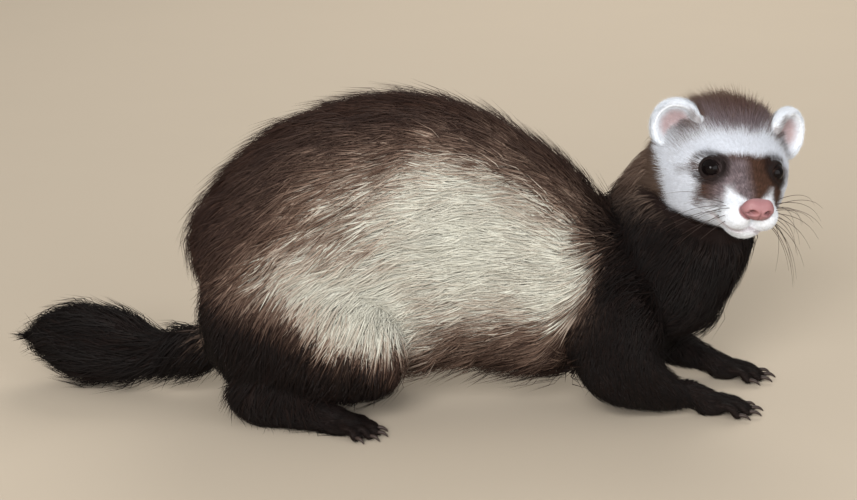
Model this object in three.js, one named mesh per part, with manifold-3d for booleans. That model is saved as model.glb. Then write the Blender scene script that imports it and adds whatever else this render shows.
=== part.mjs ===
// A sable ferret as a life-size still model. It crouches on four feet with its back arched,
// its tail laid out behind it and its head turned over its right shoulder.
// Millimetres, +X towards the chest, +Y to the animal's left, +Z up, floor at z = 0.
import * as THREE from "three";
import { LoftGeometry } from "three/addons/geometries/LoftGeometry.js";
import { mergeVertices } from "three/addons/utils/BufferGeometryUtils.js";
import Module from "manifold-3d";

const wasm = await Module();
wasm.setup();

// Driving sizes
const GAP = 0.3; // between parts that touch
const LOCK_CLEAR = 1.7; // from one part's locks to the coat's outline on the next
const FINEST = 0.15; // detail smaller than this is evened out
const FOLD = 0.4; // least share of a step that each edge of a lock moves ahead
const LOCK_STEPS = 3;
const TUBE_END = 0.02; // share of a tube's length where a lock leaves its surface
const SUNK = 1.6; // how far a lock's ridge starts below the core's surface
const FLOOR = 0;
const CENTRE_X = -16; // middle of the whole length, which becomes x = 0
const CENTRE_Y = 0; // middle of the whole width, which becomes y = 0
const TORSO_COAT = 6; // from the torso's core out to the tips of its locks
const NECK_COAT = 4;
const THIGH_COAT = 4.5;
const TAIL_COAT = 7;
const TOE_RADIUS = 2.4;
const EYE_RADIUS = 4.5;
const LID_RADIUS = 4.4; // middle of the lid's rim
const LID_THICK = 1.15;

// Where the head sits and how it is turned: yaw from facing the viewer, pitch down, roll
const HEAD_AT = new THREE.Vector3(131.5, -9, 112.8);
const HEAD_YAW = THREE.MathUtils.degToRad(-90 + 14);
const HEAD_PITCH = THREE.MathUtils.degToRad(10);
const HEAD_ROLL = THREE.MathUtils.degToRad(-8);

// Solids

// A closed geometry as a solid that can be joined and cut.
function solid(geometry) {
  const plain = geometry.index ? geometry.toNonIndexed() : geometry.clone();
  plain.deleteAttribute("normal");
  plain.deleteAttribute("uv");
  const merged = mergeVertices(plain, 1e-4);
  return new wasm.Manifold(
    new wasm.Mesh({
      numProp: 3,
      vertProperties: merged.attributes.position.array,
      triVerts: new Uint32Array(merged.index.array),
    }),
  );
}

function joined(pieces) {
  return wasm.Manifold.union(pieces);
}

// The largest closed surface of a solid, without loose scraps or sealed hollows.
function largest(made) {
  const bodies = made.decompose();
  return bodies.reduce((a, b) => (b.volume() > a.volume() ? b : a));
}

function geometryOf(made) {
  const { numVert, numProp, vertProperties, triVerts } = made.getMesh();
  const positions = new Float32Array(numVert * 3);
  for (let i = 0; i < numVert; i++) {
    positions.set(vertProperties.subarray(i * numProp, i * numProp + 3), i * 3);
  }
  const geometry = new THREE.BufferGeometry();
  geometry.setAttribute("position", new THREE.BufferAttribute(positions, 3));
  geometry.setIndex(new THREE.BufferAttribute(triVerts, 1));
  return geometry;
}

function placed(geometry, matrix) {
  return solid(geometry.clone().applyMatrix4(matrix));
}

// A ball stretched to three radii, turned by a quaternion.
function ellipsoid(centre, radii, turn = new THREE.Quaternion(), across = 16, along = 10) {
  const ball = new THREE.SphereGeometry(1, across, along);
  const matrix = new THREE.Matrix4().compose(centre, turn, new THREE.Vector3(...radii));
  return ball.applyMatrix4(matrix);
}

// Random numbers from 0 to 1 that are the same on every run.
function seeded(seed) {
  let state = seed;
  return () => {
    state = (state * 1664525 + 1013904223) % 4294967296;
    return state / 4294967296;
  };
}

// A body part as a tube round a curve. A station is [x, y, z, side, up, down]: a point of the
// curve, and how far the coat reaches from it to the sides, upwards and downwards.
class Tube {
  constructor(stations, { upward, roundStart = 0.2, roundEnd = 0.2, sides = 24, rings = 20, jowl = 2 }) {
    const vectors = (from) => stations.map((s) => new THREE.Vector3(...s.slice(from, from + 3)));
    this.curve = new THREE.CatmullRomCurve3(vectors(0), false, "centripetal");
    this.reach = new THREE.CatmullRomCurve3(vectors(3), false, "centripetal");
    Object.assign(this, { upward: new THREE.Vector3(...upward), roundStart, roundEnd, sides, rings, jowl });
  }

  frame(t) {
    const along = this.curve.getTangent(t);
    const up = this.upward.clone().addScaledVector(along, -this.upward.dot(along)).normalize();
    const side = new THREE.Vector3().crossVectors(up, along);
    return { along, up, side };
  }

  // How much of the full section is left where the ends round off.
  rounding(t) {
    const rest = Math.max(1 - t / this.roundStart, 1 - (1 - t) / this.roundEnd, 0);
    return Math.max(Math.sqrt(1 - Math.min(rest, 1) ** 2), 0.14);
  }

  // The point at t along the tube and at an angle round it, grown outwards.
  point(t, angle, grow = 0) {
    const { along, up, side } = this.frame(t);
    const reach = this.reach.getPoint(t);
    const round = this.rounding(t);
    const power = Math.sin(angle) < 0 ? 2 / this.jowl : 1;
    const bent = (value) => Math.sign(value) * Math.abs(value) ** power;
    const across = bent(Math.cos(angle)) * (reach.x + grow) * round;
    const rise = bent(Math.sin(angle)) * ((Math.sin(angle) > 0 ? reach.y : reach.z) + grow) * round;
    const end = grow * (Math.max(1 - (1 - t) / this.roundEnd, 0) - Math.max(1 - t / this.roundStart, 0));
    return this.curve
      .getPoint(t)
      .addScaledVector(side, across)
      .addScaledVector(up, rise)
      .addScaledVector(along, end);
  }

  normal(t, angle) {
    const step = 0.01;
    const low = Math.max(t - step, 0);
    const high = Math.min(t + step, 1);
    const along = this.point(high, angle).sub(this.point(low, angle));
    const round = this.point(t, angle + step).sub(this.point(t, angle - step));
    return along.cross(round).normalize().negate();
  }

  geometry(grow = 0) {
    const sections = [];
    for (let i = 0; i <= this.rings; i++) {
      const t = this.spread(i / this.rings);
      const section = [];
      for (let j = 0; j < this.sides; j++) {
        section.push(this.point(t, (2 * Math.PI * j) / this.sides, grow));
      }
      sections.push(section);
    }
    return new LoftGeometry(sections, { closed: true, capStart: true, capEnd: true });
  }

  // Sets the rings closer together at the rounded ends.
  spread(share) {
    return THREE.MathUtils.lerp(share, (1 - Math.cos(Math.PI * share)) / 2, 0.8);
  }

  solid(grow = 0) {
    return solid(this.geometry(grow));
  }

  // Distance round the coat's surface at t.
  girth(t) {
    const { x, y, z } = this.reach.getPoint(t);
    return Math.PI * (x + (y + z) / 2) * this.rounding(t);
  }

  // Share of the way out from the curve to the coat's surface, below 1 inside.
  depthOf(point, grow = 0) {
    let nearest = Infinity;
    for (let i = 0; i <= 40; i++) {
      const t = i / 40;
      const { up, side } = this.frame(t);
      const reach = this.reach.getPoint(t);
      const from = point.clone().sub(this.curve.getPoint(t));
      const across = from.dot(side) / (reach.x + grow);
      const height = from.dot(up);
      const rise = height / ((height > 0 ? reach.y : reach.z) + grow);
      const beyond = from.dot(this.frame(t).along) / reach.x;
      nearest = Math.min(nearest, Math.hypot(across, rise, beyond));
    }
    return nearest;
  }
}

// A flat, tapered lock that grows out of a tube's core, follows its surface and lifts to the
// coat's outline. heading is the angle of its lie: 0 runs back along the tube, and a quarter
// turn runs round it. Past the tube's end it goes straight on. A lock that would fold over
// itself on a sharp bend is left out, and null comes back.
function lock(tube, core, { t, angle, heading, length, width, lift }) {
  const spine = [];
  const stride = length / LOCK_STEPS;
  const probe = 0.004;
  let along = t;
  let round = angle;
  for (let i = 0; i <= LOCK_STEPS; i++) {
    if (along < TUBE_END && i > 1) {
      const [before, last] = spine.slice(-2);
      const ahead = last.here.clone().sub(before.here).setLength(stride);
      spine.push({ here: last.here.clone().add(ahead), out: last.out });
      continue;
    }
    along = Math.max(along, TUBE_END);
    const here = tube.point(along, round, core);
    const back = here.distanceTo(tube.point(along - probe, round, core));
    const turn = here.distanceTo(tube.point(along, round + probe, core));
    spine.push({ here, out: tube.normal(along, round) });
    along -= (Math.cos(heading) * stride * probe) / back;
    round += (Math.sin(heading) * stride * probe) / turn;
  }
  const sections = spine.map(({ here, out }, i) => {
    const share = i / LOCK_STEPS;
    const ahead = spine[Math.min(i + 1, LOCK_STEPS)].here
      .clone()
      .sub(spine[Math.max(i - 1, 0)].here);
    const across = new THREE.Vector3().crossVectors(out, ahead).normalize();
    const half = (width / 2) * Math.min(0.7 + 1.2 * share, 1, 2.3 * (1 - share) + 0.035);
    const ridge = (lift + SUNK) * Math.sin(Math.min(1.2 * share, 1) * (Math.PI / 2)) - SUNK;
    const edge = THREE.MathUtils.lerp(-2.5 * SUNK, lift - 1.2, share ** 0.9);
    return [
      here.clone().addScaledVector(out, ridge),
      here.clone().addScaledVector(out, edge).addScaledVector(across, -half),
      here.clone().addScaledVector(out, edge).addScaledVector(across, half),
    ];
  });
  const folded = sections.slice(1).some((section, i) => {
    const ahead = spine[i + 1].here.clone().sub(spine[i].here);
    const least = FOLD * ahead.lengthSq();
    return section.some((corner, j) => corner.clone().sub(sections[i][j]).dot(ahead) < least);
  });
  if (folded) return null;
  return solid(new LoftGeometry(sections, { closed: true, capStart: true, capEnd: true }));
}

// Rows of locks over a tube, staggered from row to row. Those that would grow inside another
// part are left out.
function coat(tube, depth, { rows, from, to, around, length, width, lie, seed, clear }) {
  const random = seeded(seed);
  const locks = [];
  for (let row = 0; row < rows; row++) {
    const t = THREE.MathUtils.lerp(from, to, row / (rows - 1));
    for (let i = 0; i < around; i++) {
      const angle = ((i + (row % 2) / 2 + 0.25 * random()) / around) * 2 * Math.PI;
      const girth = tube.girth(t) / around;
      const made = {
        t,
        angle,
        heading: lie(t, angle) + 0.3 * (random() - 0.5),
        length: length * (0.85 + 0.3 * random()),
        width: girth * width * (0.9 + 0.2 * random()),
        lift: depth * (0.85 + 0.3 * random()),
      };
      const root = tube.point(t, angle, -depth);
      const tip = tube.point(Math.max(t - 0.06, 0), angle, -depth / 2);
      const hidden = clear.some((other) => other.depthOf(root) < 0.97 || other.depthOf(tip) < 0.9);
      const grown = hidden ? null : lock(tube, -depth, made);
      if (grown) locks.push(grown);
    }
  }
  return locks;
}

// Body parts. The curve of each runs from its far end to the part that it grows from,
// or from the rump forward.
const torso = new Tube(
  [
    [-96, 2, 50, 27, 24, 26],
    [-89, 1, 54, 37, 35, 37],
    [-72, 0, 64, 44, 46, 50],
    [-40, 0, 81, 46, 57, 66],
    [-6, 0, 87, 46, 58, 72],
    [30, 0, 78, 44, 49, 64],
    [62, 1, 62, 40, 40, 51],
    [92, 3, 50, 35, 34, 40],
    [124, 5, 40, 27, 24, 27],
  ],
  { upward: [0, 0, 1], roundStart: 0.14, roundEnd: 0.2, sides: 18, rings: 15 },
);

const neck = new Tube(
  [
    [84, 3, 40, 32, 34, 36],
    [99, 4, 60, 32, 38, 38],
    [113, 5, 82, 30, 36, 37],
    [122, 7, 100, 29, 33, 33],
    [129, 11, 120, 27, 28, 27],
    [134, 14, 143, 24, 22, 22],
  ],
  { upward: [-0.75, 0.35, 0.5], roundEnd: 0.25, sides: 16, rings: 11 },
);

const tail = new Tube(
  [
    [-196, 31, 20, 3, 3, 3],
    [-180, 26, 21.5, 11, 11, 11],
    [-162, 20, 22, 18.5, 19.5, 27],
    [-145, 14.5, 21, 19, 19.5, 28],
    [-121, 7, 20.5, 14, 14, 14],
    [-103, 2, 25, 14, 15, 15],
    [-86, 0, 40, 14, 15, 15],
  ],
  { upward: [0, 0, 1], roundStart: 0.1, roundEnd: 0.1, sides: 10, rings: 12 },
);

// The right side of the animal is the near side, at -Y.
const forelegs = {
  right: new Tube(
    [
      [70, -12, 66, 16, 24, 20],
      [78, -23, 47, 17, 24, 22],
      [86, -29, 29, 14, 19, 21],
      [100, -26, 18, 10.5, 11, 15],
      [113, -22, 11, 7.5, 7, 9],
      [124, -19, 8, 6.5, 6, 6.5],
    ],
    { upward: [0.6, 0, 0.8], sides: 12, rings: 11 },
  ),
  left: new Tube(
    [
      [76, 16, 66, 16, 24, 20],
      [85, 26, 47, 15, 22, 22],
      [97, 31, 30, 12, 16, 18],
      [112, 31, 19, 9.5, 11, 13],
      [125, 30, 12, 8, 8, 9],
      [135, 28.5, 8.5, 7, 6.5, 6.5],
    ],
    { upward: [0.6, 0, 0.8], sides: 12, rings: 11 },
  ),
};

const haunch = (side) =>
  new Tube(
    [
      [-102, side * 22, 34, 13, 18, 20],
      [-89, side * 25, 39, 19, 30, 32],
      [-62, side * 29, 44, 21, 35, 36],
      [-38, side * 34, 38, 19, 29, 31],
      [-18, side * 38, 29, 13, 18, 19],
      [-8, side * 39, 25, 9, 12, 12],
    ],
    { upward: [0, 0, 1], roundStart: 0.2, roundEnd: 0.3, sides: 13, rings: 9 },
  );

const hindFoot = (side) =>
  new Tube(
    [
      [-91, side * 31, 16, 9, 13, 11],
      [-76, side * 33, 12, 10, 12, 12],
      [-57, side * 37, 8, 9, 9, 8],
      [-43, side * 41, 6.5, 9, 7, 6.8],
      [-33, side * 43.5, 5.5, 8.5, 5.5, 6],
    ],
    { upward: [0, 0, 1], roundStart: 0.3, roundEnd: 0.2, sides: 10, rings: 8 },
  );

const haunches = { right: haunch(-1), left: haunch(1) };
const hindFeet = { right: hindFoot(-1), left: hindFoot(1) };

// A toe that ends in its claw, from a knuckle, heading `yaw` degrees off +X.
function toe([x, y, z], yaw, length, thick, claw) {
  const turn = THREE.MathUtils.degToRad(yaw);
  const station = (far, height, radius) => [
    x + far * Math.cos(turn),
    y + far * Math.sin(turn),
    height,
    radius,
    radius,
    radius,
  ];
  return new Tube(
    [
      station(-3, z, thick),
      station(length * 0.55, z * 0.8 + 1.2, thick),
      station(length, thick * 0.74, thick * 0.9),
      station(length + 1, thick * 0.8, 0.9),
      station(length + claw, 0.7, 0.4),
    ],
    { upward: [0, 0, 1], roundStart: 0.15, roundEnd: 0.05, sides: 5, rings: 5 },
  ).solid();
}

// A paw's palm and its five toes, fanned round the heading.
function paw(centre, heading, radii, length, claw) {
  const turn = THREE.MathUtils.degToRad(heading);
  const about = new THREE.Quaternion().setFromAxisAngle(new THREE.Vector3(0, 0, 1), turn);
  const pieces = [solid(ellipsoid(new THREE.Vector3(...centre), radii, about, 10, 6))];
  for (let i = -2; i <= 2; i++) {
    const knuckle = new THREE.Vector3(radii[0] * (0.66 - 0.07 * i * i), i * radii[1] * 0.4, 0)
      .applyQuaternion(about)
      .add(new THREE.Vector3(...centre));
    const reach = length * (1 - 0.09 * i * i);
    pieces.push(toe(knuckle.toArray(), heading + i * 11, reach, TOE_RADIUS, claw));
  }
  return joined(pieces);
}

// Head, in its own frame: +X to the nose, +Y to its left, +Z to the crown
const headMatrix = new THREE.Matrix4().compose(
  HEAD_AT,
  new THREE.Quaternion()
    .setFromAxisAngle(new THREE.Vector3(0, 0, 1), HEAD_YAW)
    .multiply(new THREE.Quaternion().setFromAxisAngle(new THREE.Vector3(0, 1, 0), HEAD_PITCH))
    .multiply(new THREE.Quaternion().setFromAxisAngle(new THREE.Vector3(1, 0, 0), HEAD_ROLL)),
  new THREE.Vector3(1, 1, 1),
);

const skull = new Tube(
  [
    [-37, 0, -2, 20, 20, 18],
    [-24, 0, -2, 28.5, 28.5, 22],
    [-9, 0, -2, 31.5, 27.5, 24],
    [4, 0, -3, 29.5, 23.5, 24],
    [13, 0, -3.5, 25, 18.5, 22],
    [22, 0, -4.5, 18, 13.5, 17.5],
    [30, 0, -6, 13, 10, 12.5],
    [37, 0, -7, 9.5, 7.5, 8.5],
  ],
  { upward: [0, 0, 1], roundStart: 0.3, roundEnd: 0.16, sides: 22, rings: 16, jowl: 2.9 },
);

const EYE = [15.5, 14.5, 5.5];
const EYE_FACING = [0.76, 0.6, 0.22];
const NOSE = [38.5, 0, -2.5];
const NOSE_RADII = [4.5, 7.8, 5];
const EARS = { right: [-10, -23.5, 13.2], left: [-10, 28.5, 13.2] };
const EAR_FACING = [0.8, 0.5, 0.2];
const EAR_RADII = [6.5, 12.2, 12.8];
const EAR_HOLLOW = [7.5, 9.2, 9.6];

const mirrored = { right: -1, left: 1 };
const sided = (point, side) => new THREE.Vector3(point[0], point[1] * side, point[2]);

// The whisker pads and chin, grown by a margin.
function muzzle(margin) {
  const parts = [
    [[31.5, 6, -8], [8, 7.6, 7]],
    [[31.5, -6, -8], [8, 7.6, 7]],
    [[26, 0, -14.5], [10.5, 9, 6.5]],
  ];
  return parts.map(([centre, radii]) =>
    solid(ellipsoid(new THREE.Vector3(...centre), radii.map((r) => r + margin), undefined, 14, 8)),
  );
}

// The line of the mouth, as a thin curved sheet that runs back on both sides.
function mouthSheet() {
  const sections = [];
  for (let i = 0; i <= 12; i++) {
    const y = -17 + (34 * i) / 12;
    const dip = 2.4 * Math.sin(Math.min(Math.abs(y) / 13, 1) * Math.PI) ** 1.5;
    const front = 50 - 0.02 * y * y;
    const at = (x, rise) =>
      new THREE.Vector3(x, y, -12.6 - dip + (front - x) * 0.02 + 0.15 * Math.max(Math.abs(y) - 9, 0) + rise);
    sections.push([at(15, -0.45), at(front, -0.45), at(front, 0.45), at(15, 0.45)].reverse());
  }
  return solid(new LoftGeometry(sections, { closed: true, capStart: true, capEnd: true }));
}

function ring(centre, facing, radius, thick, squash) {
  const turn = new THREE.Quaternion().setFromUnitVectors(new THREE.Vector3(0, 0, 1), facing);
  const matrix = new THREE.Matrix4().compose(centre, turn, new THREE.Vector3(1, squash, 1));
  return placed(new THREE.TorusGeometry(radius, thick, 5, 14), matrix);
}

const inner = joined([skull.solid(-1.3), ...muzzle(-1.3)]);
let headSolid = joined([skull.solid(), ...muzzle(0)]);
headSolid = headSolid.subtract(mouthSheet().subtract(inner));
const eyes = {};
const ears = {};
const earShells = [];
for (const [name, side] of Object.entries(mirrored)) {
  const centre = sided(EYE, side);
  const facing = sided(EYE_FACING, side).normalize();
  const ball = (radius) => solid(ellipsoid(centre, [radius, radius, radius], undefined, 12, 8));
  const lid = ring(centre.clone().addScaledVector(facing, 2), facing, LID_RADIUS, LID_THICK, 0.92);
  eyes[name] = ball(EYE_RADIUS);
  headSolid = headSolid.add(lid).subtract(ball(EYE_RADIUS + GAP));

  const axis = sided(EAR_FACING, side).normalize();
  const turn = new THREE.Quaternion().setFromUnitVectors(new THREE.Vector3(1, 0, 0), axis);
  const middle = new THREE.Vector3(...EARS[name]);
  const hollow = middle.clone().addScaledVector(axis, 4.5);
  const shell = (margin) => solid(ellipsoid(middle, EAR_RADII.map((r) => r + margin), turn));
  ears[name] = shell(0)
    .subtract(solid(ellipsoid(hollow, EAR_HOLLOW, turn)))
    .subtract(skull.solid(GAP));
  earShells.push(shell(GAP));
}
const nosePad = (margin) =>
  solid(ellipsoid(new THREE.Vector3(...NOSE), NOSE_RADII.map((r) => r + margin), undefined, 14, 10));
const nostrils = Object.values(mirrored).map((side) =>
  solid(ellipsoid(sided([42.6, 3.3, -2.6], side), [2.6, 1.5, 1.2], undefined, 7, 5)),
);
const nose = nostrils.reduce((made, hole) => made.subtract(hole), nosePad(0));
headSolid = headSolid.subtract(nosePad(GAP));

// Coats and cuts
const floorCut = placed(
  new THREE.BoxGeometry(1000, 1000, 200),
  new THREE.Matrix4().makeTranslation(0, 0, FLOOR - 100),
);

// Hair lies back along the trunk and down its sides, and runs round the rump.
const trunkLie = (t, angle) => {
  const flank = -Math.cos(angle);
  const rump = THREE.MathUtils.smoothstep(0.3 - t, 0, 0.22);
  return flank * (0.55 + 0.75 * rump);
};
const around = (tube) => tube.solid(GAP);
const aroundTorso = torso.solid(GAP - TORSO_COAT);
const aroundHead = joined([skull.solid(GAP), ...muzzle(GAP), ...earShells]).transform(
  headMatrix.toArray(),
);
const limbs = [...Object.values(forelegs), ...Object.values(haunches)];

const torsoLocks = coat(torso, TORSO_COAT, {
  rows: 7,
  from: 0.15,
  to: 0.77,
  around: 10,
  length: 44,
  width: 1.08,
  lie: trunkLie,
  seed: 12,
  clear: [neck, tail, ...limbs],
});
const others = joined([neck, tail, ...limbs].map((tube) => tube.solid(LOCK_CLEAR)));
const torsoSolid = joined([
  torso.solid(-TORSO_COAT),
  ...torsoLocks.map((grown) => grown.subtract(others)),
]);

const neckLocks = coat(neck, NECK_COAT, {
  rows: 3,
  from: 0.35,
  to: 0.88,
  around: 6,
  length: 32,
  width: 1.05,
  lie: (t, angle) => 0.25 * Math.cos(angle),
  seed: 6,
  clear: [torso, ...Object.values(forelegs)],
});
const neckSolid = joined([neck.solid(-NECK_COAT), ...neckLocks])
  .subtract(aroundTorso)
  .subtract(aroundHead)
  .subtract(joined(Object.values(forelegs).map(around)));

const tailLocks = coat(tail, TAIL_COAT, {
  rows: 4,
  from: 0.3,
  to: 0.78,
  around: 5,
  length: 34,
  width: 0.85,
  lie: () => 0,
  seed: 3,
  clear: [torso, ...Object.values(haunches)],
});
const tailSolid = joined([tail.solid(-TAIL_COAT), ...tailLocks])
  .subtract(aroundTorso)
  .subtract(floorCut);

// Materials
const colours = {
  coat: new THREE.MeshStandardMaterial({ color: 0x9c8b79, roughness: 0.9 }),
  dark: new THREE.MeshStandardMaterial({ color: 0x33241f, roughness: 0.85 }),
  face: new THREE.MeshStandardMaterial({ color: 0xe6ddd2, roughness: 0.85 }),
  nose: new THREE.MeshStandardMaterial({ color: 0xcf8f86, roughness: 0.45 }),
  eye: new THREE.MeshStandardMaterial({ color: 0x0d0a0a, roughness: 0.08 }),
};

const ferret = new THREE.Group();
ferret.position.set(-CENTRE_X, -CENTRE_Y, 0);
const headGroup = new THREE.Group();
headGroup.applyMatrix4(headMatrix);
ferret.add(headGroup);

function add(group, name, made, material) {
  const mesh = new THREE.Mesh(geometryOf(largest(made.simplify(FINEST))), material);
  mesh.name = name;
  group.add(mesh);
}

add(ferret, "torso", torsoSolid, colours.coat);
add(ferret, "neck", neckSolid, colours.dark);
add(ferret, "tail", tailSolid, colours.dark);
const paws = {
  right: paw([127.5, -18.5, 5.6], 4, [9, 8, 6.6], 13, 5),
  left: paw([139.5, 28, 5.6], -3, [9, 8, 6.6], 13, 5),
};
for (const [name, side] of Object.entries(mirrored)) {
  const leg = forelegs[name];
  const haunch = haunches[name];
  const thighLocks = coat(haunch, THIGH_COAT, {
    rows: 3,
    from: 0.3,
    to: 0.85,
    around: 7,
    length: 32,
    width: 1.05,
    lie: (t, angle) => -0.6 * Math.cos(angle),
    seed: 7 + side,
    clear: [torso, hindFeet[name]],
  });
  const foreleg = leg.solid().subtract(aroundTorso).subtract(floorCut);
  const forepaw = paws[name].subtract(around(leg)).subtract(floorCut);
  const thigh = haunch
    .solid(-THIGH_COAT)
    .add(joined(thighLocks).subtract(hindFeet[name].solid(2 * GAP)))
    .subtract(aroundTorso)
    .subtract(tail.solid(LOCK_CLEAR))
    .subtract(floorCut);
  const foot = joined([
    hindFeet[name].solid(),
    paw([-38.5, side * 42.6, 5.1], side * 16, [10, 8.6, 6], 11, 4),
  ])
    .subtract(aroundTorso)
    .subtract(around(haunch))
    .subtract(floorCut);
  add(ferret, `foreleg_${name}`, foreleg, colours.dark);
  add(ferret, `forepaw_${name}`, forepaw, colours.dark);
  add(ferret, `thigh_${name}`, thigh, colours.dark);
  add(ferret, `hind_foot_${name}`, foot, colours.dark);
  add(headGroup, `ear_${name}`, ears[name], colours.face);
  add(headGroup, `eye_${name}`, eyes[name], colours.eye);
}
add(headGroup, "head", headSolid, colours.face);
add(headGroup, "nose", nose, colours.nose);

export default ferret;
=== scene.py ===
"""A sable ferret as a life-size still model: its skin, coat, face and feet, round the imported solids.

Lengths are millimetres while a piece is shaped, from the floor up, with +X towards the chest and
-Y towards the viewer. Each piece is turned into metres, in the solids' own frame, once it is shaped.
"""

import math

import bmesh
import bpy
import numpy as np
from mathutils import Euler, Matrix, Vector, kdtree


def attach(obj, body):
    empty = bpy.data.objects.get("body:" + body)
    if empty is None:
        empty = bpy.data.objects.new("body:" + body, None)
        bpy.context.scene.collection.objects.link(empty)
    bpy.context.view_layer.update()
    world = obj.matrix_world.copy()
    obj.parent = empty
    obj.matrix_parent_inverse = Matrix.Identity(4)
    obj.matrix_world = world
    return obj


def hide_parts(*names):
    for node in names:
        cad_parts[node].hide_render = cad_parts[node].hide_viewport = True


bl_info = {
    "name": "Ferret",
    "version": (1, 0, 0),
    "blender": (4, 5, 0),
    "location": "3D View > Sidebar > Ferret",
    "description": "Skin, coat, face and feet of a life-size sable ferret",
    "category": "Mesh",
}

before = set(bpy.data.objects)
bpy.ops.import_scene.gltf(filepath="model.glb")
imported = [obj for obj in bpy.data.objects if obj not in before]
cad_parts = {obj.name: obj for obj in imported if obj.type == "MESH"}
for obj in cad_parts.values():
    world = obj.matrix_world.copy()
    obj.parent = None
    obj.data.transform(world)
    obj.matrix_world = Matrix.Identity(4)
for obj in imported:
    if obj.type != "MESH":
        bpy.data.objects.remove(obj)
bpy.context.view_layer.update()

ROOT = "root"
COLOUR_LAYER = "coat_colour"
MM = 0.001
SHIFT = np.array([16.0, 0.0, 0.0])  # from the millimetres below to the solids' own origin
FLESH = ["torso", "neck", "tail", "head"] + [
    f"{part}_{side}"
    for part in ("foreleg", "forepaw", "thigh", "hind_foot", "ear")
    for side in ("right", "left")
]
SIDES = {"right": -1, "left": 1}


# Vector helpers on arrays of points


def unit(vectors):
    return vectors / np.maximum(np.linalg.norm(vectors, axis=-1, keepdims=True), 1e-9)


def dot(a, b):
    return (a * b).sum(-1)


def smoothstep(low, high, value):
    share = np.clip((value - low) / (high - low), 0.0, 1.0)
    return share * share * (3 - 2 * share)


def blob(values, centre, radii):
    """1 at the centre and fading to 0 about one and a half radii away."""
    return np.exp(-sum(((v - c) / r) ** 2 for v, c, r in zip(values, centre, radii)))


def ripple(points, size, seed, waves=7):
    """Soft random waves over space, from about -1 to 1, with crests about size apart."""
    random = np.random.default_rng(seed)
    total = np.zeros(len(points))
    for _ in range(waves):
        heading = unit(random.normal(size=3)) * random.uniform(0.7, 1.5) * 2 * np.pi / size
        total += np.sin(points @ heading + random.uniform(0, 2 * np.pi))
    return total / math.sqrt(waves)


# Body parts as tubes


def spline(stations, t):
    """Points at t along a centripetal curve through the stations."""
    last = len(stations) - 1
    ends = np.vstack([2 * stations[0] - stations[1], stations, 2 * stations[-1] - stations[-2]])
    spot = np.clip(np.atleast_1d(t), 0, 1) * last
    index = np.minimum(spot.astype(int), last - 1)
    weight = (spot - index)[:, None]
    p0, p1, p2, p3 = (ends[index + k] for k in range(4))
    gap = [
        np.maximum(np.linalg.norm(b - a, axis=1, keepdims=True), 1e-4) ** 0.5
        for a, b in ((p0, p1), (p1, p2), (p2, p3))
    ]
    start = ((p1 - p0) / gap[0] - (p2 - p0) / (gap[0] + gap[1]) + (p2 - p1) / gap[1]) * gap[1]
    end = ((p2 - p1) / gap[1] - (p3 - p1) / (gap[1] + gap[2]) + (p3 - p2) / gap[2]) * gap[1]
    cubic = 2 * p1 - 2 * p2 + start + end
    square = -3 * p1 + 3 * p2 - 2 * start - end
    return p1 + start * weight + square * weight**2 + cubic * weight**3


class Tube:
    """A body part round a curve. A station is a point of the curve, and how far the coat's
    outline reaches from it to the sides, up and down."""

    def __init__(self, stations, upward=(0, 0, 1), start=0.2, end=0.2, coat=0.0, jowl=2.0):
        stations = np.array(stations, float)
        self.path = stations[:, :3]
        self.reach = stations[:, 3:]
        self.upward = np.array(upward, float)
        self.start = start
        self.end = end
        self.coat = coat
        self.jowl = jowl

    def axes(self, t):
        step = 1e-3
        ahead = spline(self.path, np.minimum(t + step, 1))
        along = unit(ahead - spline(self.path, np.maximum(t - step, 0)))
        up = unit(self.upward - along * dot(self.upward, along)[:, None])
        return along, up, np.cross(up, along)

    def rounding(self, t):
        rest = np.maximum(np.maximum(1 - t / self.start, 1 - (1 - t) / self.end), 0)
        return np.sqrt(np.maximum(1 - rest**2, 0))

    def point(self, t, angle, inset):
        """The surface at t and an angle round the tube, set in from the coat's outline."""
        along, up, side = self.axes(t)
        reach = np.maximum(spline(self.reach, t) - inset, 0.04)
        power = np.where(np.sin(angle) < 0, 2 / self.jowl, 1.0)
        across, rise = (np.sign(v) * np.abs(v) ** power for v in (np.cos(angle), np.sin(angle)))
        height = np.where(rise > 0, reach[:, 1], reach[:, 2]) * rise
        pull = np.maximum(1 - t / self.start, 0) - np.maximum(1 - (1 - t) / self.end, 0)
        ring = side * (across * reach[:, 0])[:, None] + up * height[:, None]
        return (
            spline(self.path, t)
            + ring * self.rounding(t)[:, None]
            + along * (inset * pull)[:, None]
        )

    def locate(self, points, steps=44):
        """For each point: its depth (1 at the outline), t and angle on this tube."""
        best = np.full(len(points), np.inf)
        spot = np.zeros(len(points))
        turn = np.zeros(len(points))
        for t in np.linspace(0.01, 0.99, steps):
            here = np.array([t])
            along, up, side = (axis[0] for axis in self.axes(here))
            reach = spline(self.reach, here)[0]
            away = points - spline(self.path, here)[0]
            height = away @ up
            across = (away @ side) / reach[0]
            rise = height / np.where(height > 0, reach[1], reach[2])
            depth = np.sqrt(across**2 + rise**2 + (away @ along / reach[0]) ** 2)
            nearer = depth < best
            best = np.where(nearer, depth, best)
            spot = np.where(nearer, t, spot)
            turn = np.where(nearer, np.arctan2(rise, across), turn)
        return best, spot, turn

    def add(self, bm, inset=None, across=40, along=48):
        """Adds the part to a bmesh as a ball drawn out along the tube."""
        inset = self.coat if inset is None else inset
        ball = bmesh.ops.create_uvsphere(bm, u_segments=across, v_segments=along, radius=1)["verts"]
        at = np.array([v.co for v in ball])
        share = np.arccos(np.clip(-at[:, 2], -1, 1)) / np.pi
        t = 0.4 * share + 0.6 * (1 - np.cos(np.pi * share)) / 2
        for vert, place in zip(ball, self.point(t, np.arctan2(at[:, 1], at[:, 0]), inset)):
            vert.co = place
        return ball


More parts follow.
